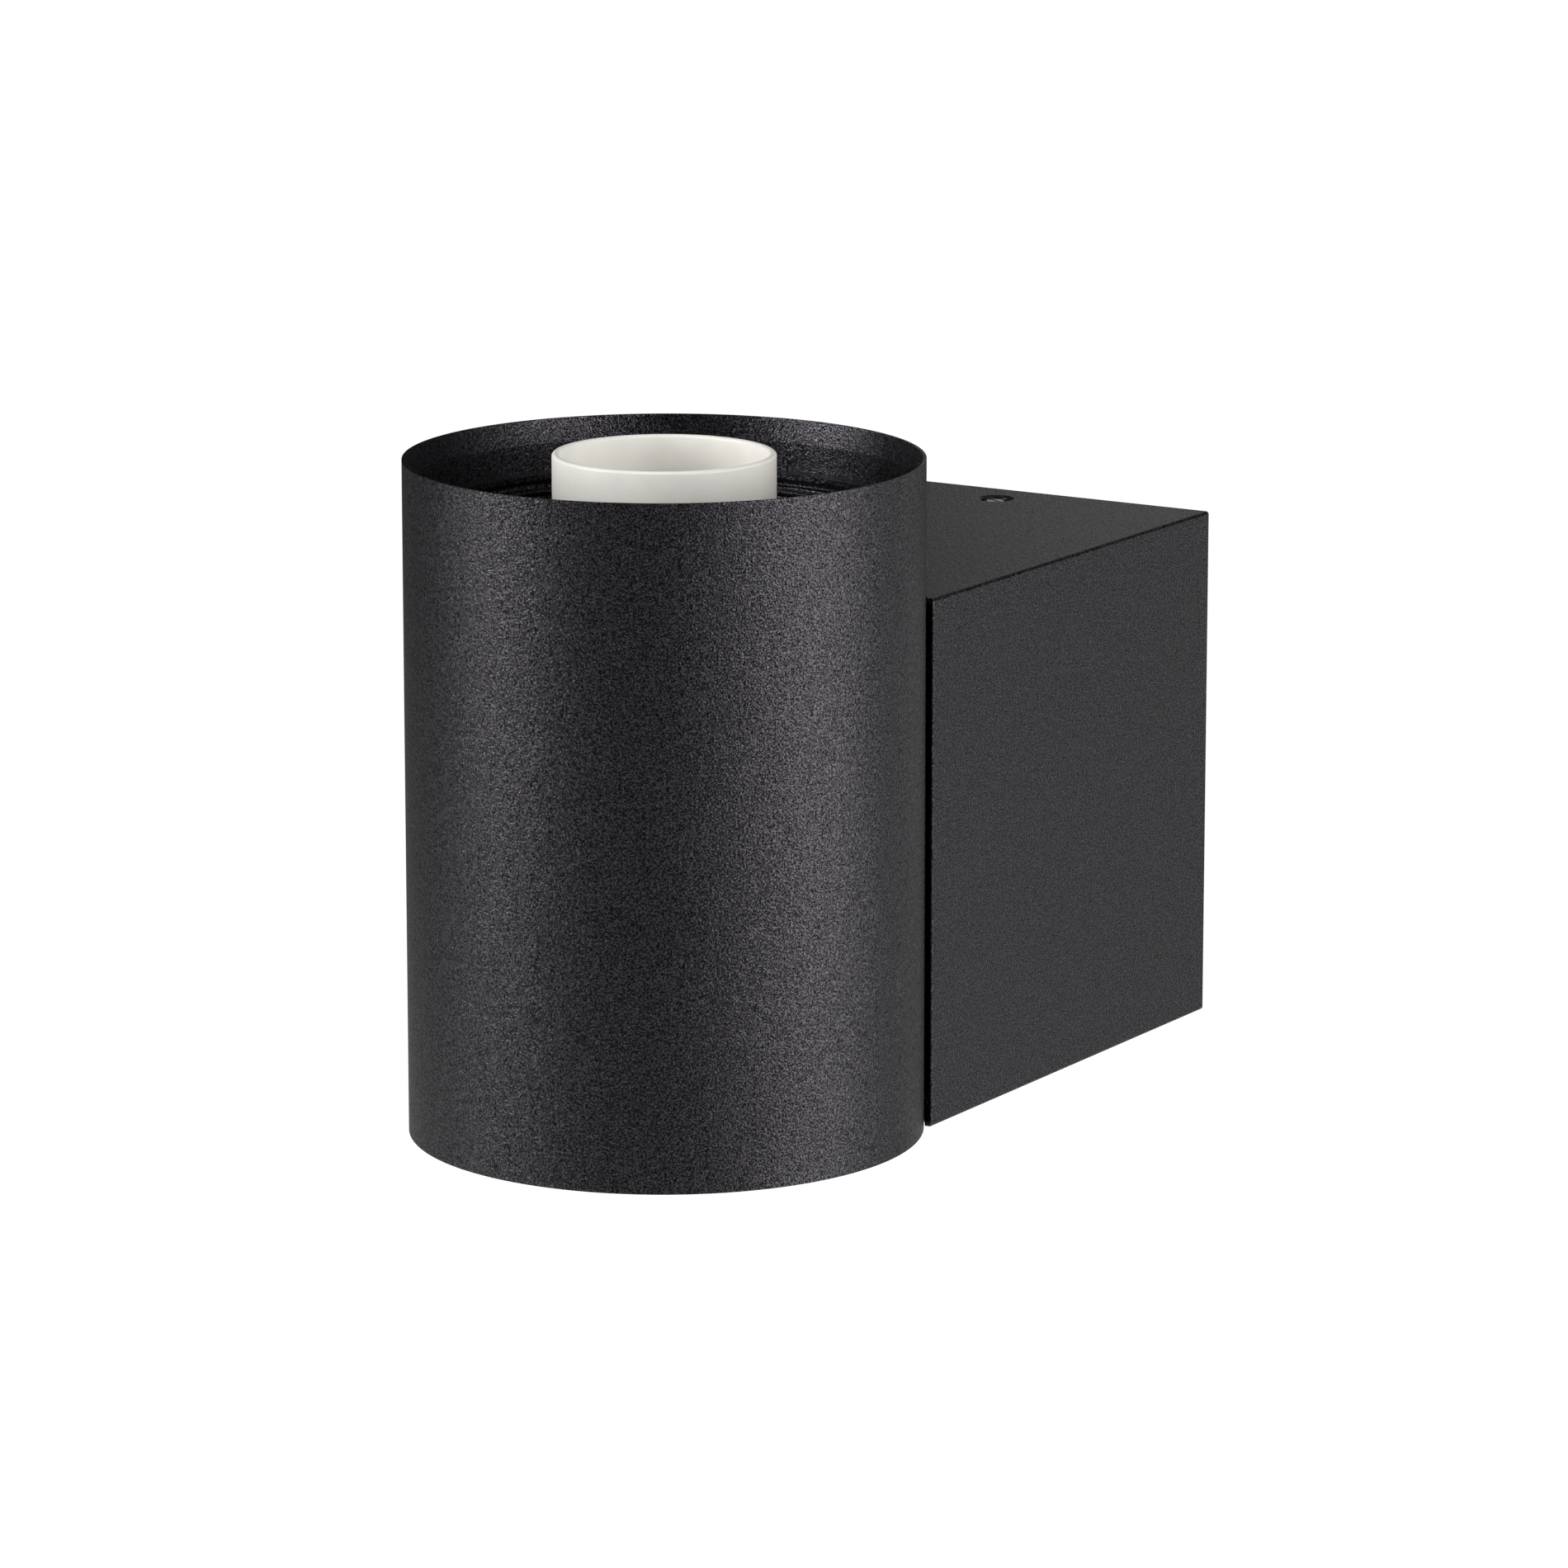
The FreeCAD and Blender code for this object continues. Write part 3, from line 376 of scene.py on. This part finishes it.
def threadTree():
    lengths = ("Crest", "Depth", "Pitch", "Bottom", "Top", "Wall", "Follow", "Fade", "Slope")
    tree, given = startTree("rolledThread", lengths, ("Round", "Rows"))

    # a sheet whose rows run up the inside, and then down the outside to where they began
    rows = given["Rows"]
    loop = addMath(tree, "MULTIPLY", rows, 2.0)
    across = addMath(tree, "ADD", loop, 1.0)
    around = addMath(tree, "ADD", given["Round"], 1.0)
    sheet = addNode(tree, "GeometryNodeMeshGrid", {"Vertices X": around, "Vertices Y": across})
    index = addNode(tree, "GeometryNodeInputIndex").outputs[0]
    place = addMath(tree, "DIVIDE", addMath(tree, "ADD", index, 0.5), across)
    column = addMath(tree, "FLOOR", place)
    rawRow = addMath(tree, "SUBTRACT", index, addMath(tree, "MULTIPLY", column, across))
    row = addMath(tree, "MODULO", addMath(tree, "ADD", rawRow, 0.25), loop)
    row = addMath(tree, "FLOOR", row)
    outside = addMath(tree, "GREATER_THAN", row, addMath(tree, "SUBTRACT", rows, 0.5))
    lastRow = addMath(tree, "SUBTRACT", rows, 1.0)
    upRow = addMath(tree, "MINIMUM", row, lastRow)
    downRow = addMath(tree, "MULTIPLY", outside, addMath(tree, "SUBTRACT", row, rows))
    step = addMath(tree, "SUBTRACT", upRow, downRow)
    height = addMath(tree, "SUBTRACT", given["Top"], given["Bottom"])
    share = addMath(tree, "DIVIDE", step, lastRow)
    z = addMath(tree, "MULTIPLY_ADD", share, height, given["Bottom"])
    turn = addMath(tree, "DIVIDE", column, given["Round"])
    angle = addMath(tree, "MULTIPLY", turn, 2 * math.pi)

    # a wave that climbs one pitch in each turn, and fades out at both ends
    risen = addMath(tree, "SUBTRACT", z, given["Bottom"])
    climb = addMath(tree, "DIVIDE", risen, given["Pitch"])
    phase = addMath(tree, "MULTIPLY", addMath(tree, "SUBTRACT", climb, turn), 2 * math.pi)
    wave = addMath(tree, "MULTIPLY_ADD", addMath(tree, "COSINE", phase), -0.5, 0.5)
    wave = addMath(tree, "POWER", wave, given["Slope"])
    low = addMath(tree, "DIVIDE", risen, given["Fade"])
    high = addMath(tree, "DIVIDE", addMath(tree, "SUBTRACT", given["Top"], z), given["Fade"])
    fade = addMath(tree, "MINIMUM", addMath(tree, "MINIMUM", low, high), 1.0)
    groove = addMath(tree, "MULTIPLY", addMath(tree, "MULTIPLY", wave, given["Depth"]), fade)
    flat = addMath(tree, "SUBTRACT", 1.0, fade)
    ends = addMath(tree, "MULTIPLY", flat, given["Depth"])
    inner = addMath(tree, "ADD", given["Crest"], addMath(tree, "ADD", groove, ends))

    # the outside follows the wave where Follow is 1, and is a plain cylinder where it is 0
    root = addMath(tree, "ADD", given["Crest"], given["Depth"])
    plain = addMath(tree, "ADD", root, given["Wall"])
    waved = addMath(tree, "ADD", inner, given["Wall"])
    swing = addMath(tree, "SUBTRACT", waved, plain)
    outer = addMath(tree, "MULTIPLY_ADD", swing, given["Follow"], plain)
    gap = addMath(tree, "SUBTRACT", outer, inner)
    radius = addMath(tree, "MULTIPLY_ADD", outside, gap, inner)
    x = addMath(tree, "MULTIPLY", radius, addMath(tree, "COSINE", angle))
    y = addMath(tree, "MULTIPLY", radius, addMath(tree, "SINE", angle))
    point = addNode(tree, "ShaderNodeCombineXYZ", {0: x, 1: y, 2: z}).outputs[0]
    shaped = addNode(tree, "GeometryNodeSetPosition",
                     {"Geometry": sheet.outputs[0], "Position": point})
    joined = addNode(tree, "GeometryNodeMergeByDistance",
                     {"Geometry": shaped.outputs[0], "Distance": 0.001 * mm})
    endTree(tree, joined.outputs[0], given["Finish"])
    return tree


thread = threadTree()
tubeLow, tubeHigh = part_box("tube_body")
axis = Vector(((tubeLow.x + tubeHigh.x) / 2, (tubeLow.y + tubeHigh.y) / 2, 0))

shellThread = {"Crest": 12.25 * mm, "Depth": 1.0 * mm, "Pitch": 3.63 * mm, "Wall": 0.35 * mm,
               "Follow": 1.0, "Fade": 1.2 * mm, "Slope": 1.0, "Round": 120, "Rows": 90}


def addShell():
    low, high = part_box("screw_shell")
    values = dict(shellThread, Bottom=low.z, Top=high.z, Finish=materialOf["nickel"])
    shell = growPiece("threadedShell", thread, values, axis)
    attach(shell, "light")
    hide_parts("screw_shell")


mouthThread = {"Crest": 40.2 * mm, "Depth": 0.75 * mm, "Pitch": 1.8 * mm, "Wall": 0.1 * mm,
               "Follow": 0.0, "Fade": 0.6 * mm, "Slope": 0.8, "Round": 220, "Rows": 84}
mouthReach = {"below": 10.9 * mm, "length": 11 * mm}   # below the tube's rim


def addMouthThread():
    top = tubeHigh.z - mouthReach["below"]
    bottom = top - mouthReach["length"]
    values = dict(mouthThread, Bottom=bottom, Top=top, Finish=materialOf["black_coat"])
    band = growPiece("mouthThread", thread, values, axis)
    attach(band, "light")


addShell()
addMouthThread()
print("threads made")


# the spring under the middle contact, wound with one closed coil at each end

contactSpring = {"Coil": 3.25 * mm, "Wire": 0.25 * mm, "Coils": 6.0, "Steps": 48, "Round": 12}


def springTree():
    lengths = ("Coil", "Wire", "Coils", "Bottom", "Top")
    tree, given = startTree("woundSpring", lengths, ("Steps", "Round"))
    spiral = addNode(tree, "GeometryNodeCurveSpiral",
                     {"Resolution": given["Steps"], "Rotations": given["Coils"],
                      "Start Radius": given["Coil"], "End Radius": given["Coil"], "Height": 0.0})
    along = addNode(tree, "GeometryNodeSplineParameter").outputs["Factor"]
    turns = addMath(tree, "MULTIPLY", along, given["Coils"])
    left = addMath(tree, "SUBTRACT", given["Coils"], turns)
    first = addMath(tree, "MINIMUM", turns, 1.0)
    last = addMath(tree, "SUBTRACT", 1.0, addMath(tree, "MINIMUM", left, 1.0))
    thick = addMath(tree, "MULTIPLY", given["Wire"], 2.0)
    low = addMath(tree, "ADD", given["Bottom"], given["Wire"])
    height = addMath(tree, "SUBTRACT", given["Top"], given["Bottom"])
    spare = addMath(tree, "SUBTRACT", height, addMath(tree, "MULTIPLY", thick, 3.0))
    middle = addMath(tree, "DIVIDE", addMath(tree, "SUBTRACT", turns, 1.0),
                     addMath(tree, "SUBTRACT", given["Coils"], 2.0))
    middle = addMath(tree, "MINIMUM", addMath(tree, "MAXIMUM", middle, 0.0), 1.0)
    ends = addMath(tree, "MULTIPLY", addMath(tree, "ADD", first, last), thick)
    lift = addMath(tree, "ADD", addMath(tree, "MULTIPLY_ADD", middle, spare, low), ends)
    rise = addNode(tree, "ShaderNodeCombineXYZ", {2: lift}).outputs[0]
    shaped = addNode(tree, "GeometryNodeSetPosition",
                     {"Geometry": spiral.outputs[0], "Offset": rise})
    ring = addNode(tree, "GeometryNodeCurvePrimitiveCircle",
                   {"Resolution": given["Round"], "Radius": given["Wire"]})
    wound = addNode(tree, "GeometryNodeCurveToMesh",
                    {"Curve": shaped.outputs[0], "Profile Curve": ring.outputs[0],
                     "Fill Caps": True})
    endTree(tree, wound.outputs[0], given["Finish"])
    return tree


def addSpring():
    low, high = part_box("contact_spring")
    values = dict(contactSpring, Bottom=low.z, Top=high.z, Finish=materialOf["spring_steel"])
    spring = growPiece("woundSpring", springTree(), values, axis)
    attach(spring, "light")
    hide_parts("contact_spring")
    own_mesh(spring)


addSpring()
print("spring wound")


# camera, from the photograph's viewing angle

shot = {
    "place": (0.6714, -1.1654, 0.2880),
    "aim": (0.0045, -0.0903, 0.0087),
    "lens": 168.55,
    "sensor": 36.0,
    "reach": 20,
}


def addCamera():
    data = bpy.data.cameras.new("camera")
    data.lens = shot["lens"]
    data.sensor_width = shot["sensor"]
    data.clip_end = shot["reach"]
    camera = bpy.data.objects.new("camera", data)
    camera.location = shot["place"]
    sight = Vector(shot["aim"]) - Vector(shot["place"])
    camera.rotation_euler = sight.to_track_quat("-Z", "Y").to_euler()
    scene.collection.objects.link(camera)
    scene.camera = camera


addCamera()


# studio: soft boxes on a ring round the object, a pale floor, and white where only the camera looks

studio = {
    "boxDistance": 1.5,
    "floorHeight": -0.36,
    "floorSize": 12.0,
    "floorTones": (0.784, 0.80),
    "floorRoughness": 0.9,
    "paperSize": 0.4,
    "whiteShare": 0.86,      # of what the camera sees on the floor; the rest is lit paper
    "whiteStrength": 1.18,
}
softBoxes = {
    # turn is degrees to the right of the camera, seen from the object; rise is above level
    "boxLeft": {"turn": -75, "rise": 15, "side": 0.75, "power": 21.3},
    "boxLeftHigh": {"turn": -45, "rise": 45, "side": 0.75, "power": 3.4},
    "boxRight": {"turn": 75, "rise": 15, "side": 0.75, "power": 4.1},
    "boxRightFront": {"turn": 45, "rise": 15, "side": 0.75, "power": 14.4},
    "boxRightLow": {"turn": 75, "rise": -12, "side": 0.75, "power": 12.4},
    "boxFarLow": {"turn": 135, "rise": -12, "side": 0.75, "power": 0.8},
    "boxBehind": {"turn": 165, "rise": 15, "side": 0.75, "power": 0.6},
    "boxAbove": {"turn": 0, "rise": 85, "side": 1.2, "power": 5.0},
}


def addSoftBox(name, turn, rise, side, power):
    data = bpy.data.lights.new(name, "AREA")
    data.shape = "RECTANGLE"
    data.size = data.size_y = side
    data.energy = power
    box = bpy.data.objects.new(name, data)
    sight = Vector(shot["place"]) - Vector(shot["aim"])
    heading = math.atan2(sight.y, sight.x) + math.radians(turn)
    up = math.sin(math.radians(rise))
    level = math.cos(math.radians(rise))
    way = Vector((level * math.cos(heading), level * math.sin(heading), up))
    box.location = Vector(shot["aim"]) + way * studio["boxDistance"]
    box.rotation_euler = way.to_track_quat("Z", "Y").to_euler()
    scene.collection.objects.link(box)


for name, values in softBoxes.items():
    addSoftBox(name, **values)


def addSurround():
    # white to the camera, and no light at all on the object
    world = bpy.data.worlds.new("surround")
    world.use_nodes = True
    tree = world.node_tree
    background = tree.nodes["Background"]
    path = addNode(tree, "ShaderNodeLightPath").outputs
    plug(tree, background.inputs["Strength"], path["Is Camera Ray"])
    plug(tree, background.inputs["Color"], (1, 1, 1, 1))
    scene.world = world


def addFloor():
    mesh = bpy.data.meshes.new("floor")
    half = studio["floorSize"] / 2
    corners = [(-half, -half), (half, -half), (half, half), (-half, half)]
    mesh.from_pydata([(x, y, studio["floorHeight"]) for x, y in corners], [], [(0, 1, 2, 3)])
    floor = bpy.data.objects.new("floor", mesh)
    scene.collection.objects.link(floor)
    material, tree, shader, place = startMaterial("floorPaper")
    paper = addNoise(tree, place, studio["paperSize"])
    dress(tree, shader,
          Base_Color=spread(tree, paper, *studio["floorTones"]),
          Roughness=studio["floorRoughness"])
    glow = addNode(tree, "ShaderNodeEmission", {"Strength": studio["whiteStrength"]})
    path = addNode(tree, "ShaderNodeLightPath").outputs
    share = addMath(tree, "MULTIPLY", path["Is Camera Ray"], studio["whiteShare"])
    lit = addNode(tree, "ShaderNodeMixShader",
                  {0: share, 1: shader.outputs[0], 2: glow.outputs[0]})
    # from below the floor is clear, so the object shows
    clear = addNode(tree, "ShaderNodeBsdfTransparent")
    back = addNode(tree, "ShaderNodeNewGeometry").outputs["Backfacing"]
    sided = addNode(tree, "ShaderNodeMixShader",
                    {0: back, 1: lit.outputs[0], 2: clear.outputs[0]})
    tree.links.new(sided.outputs[0], tree.nodes["Material Output"].inputs["Surface"])
    mesh.materials.append(material)


addSurround()
addFloor()
scene.view_settings.view_transform = "Standard"
print("camera, floor and lights set")
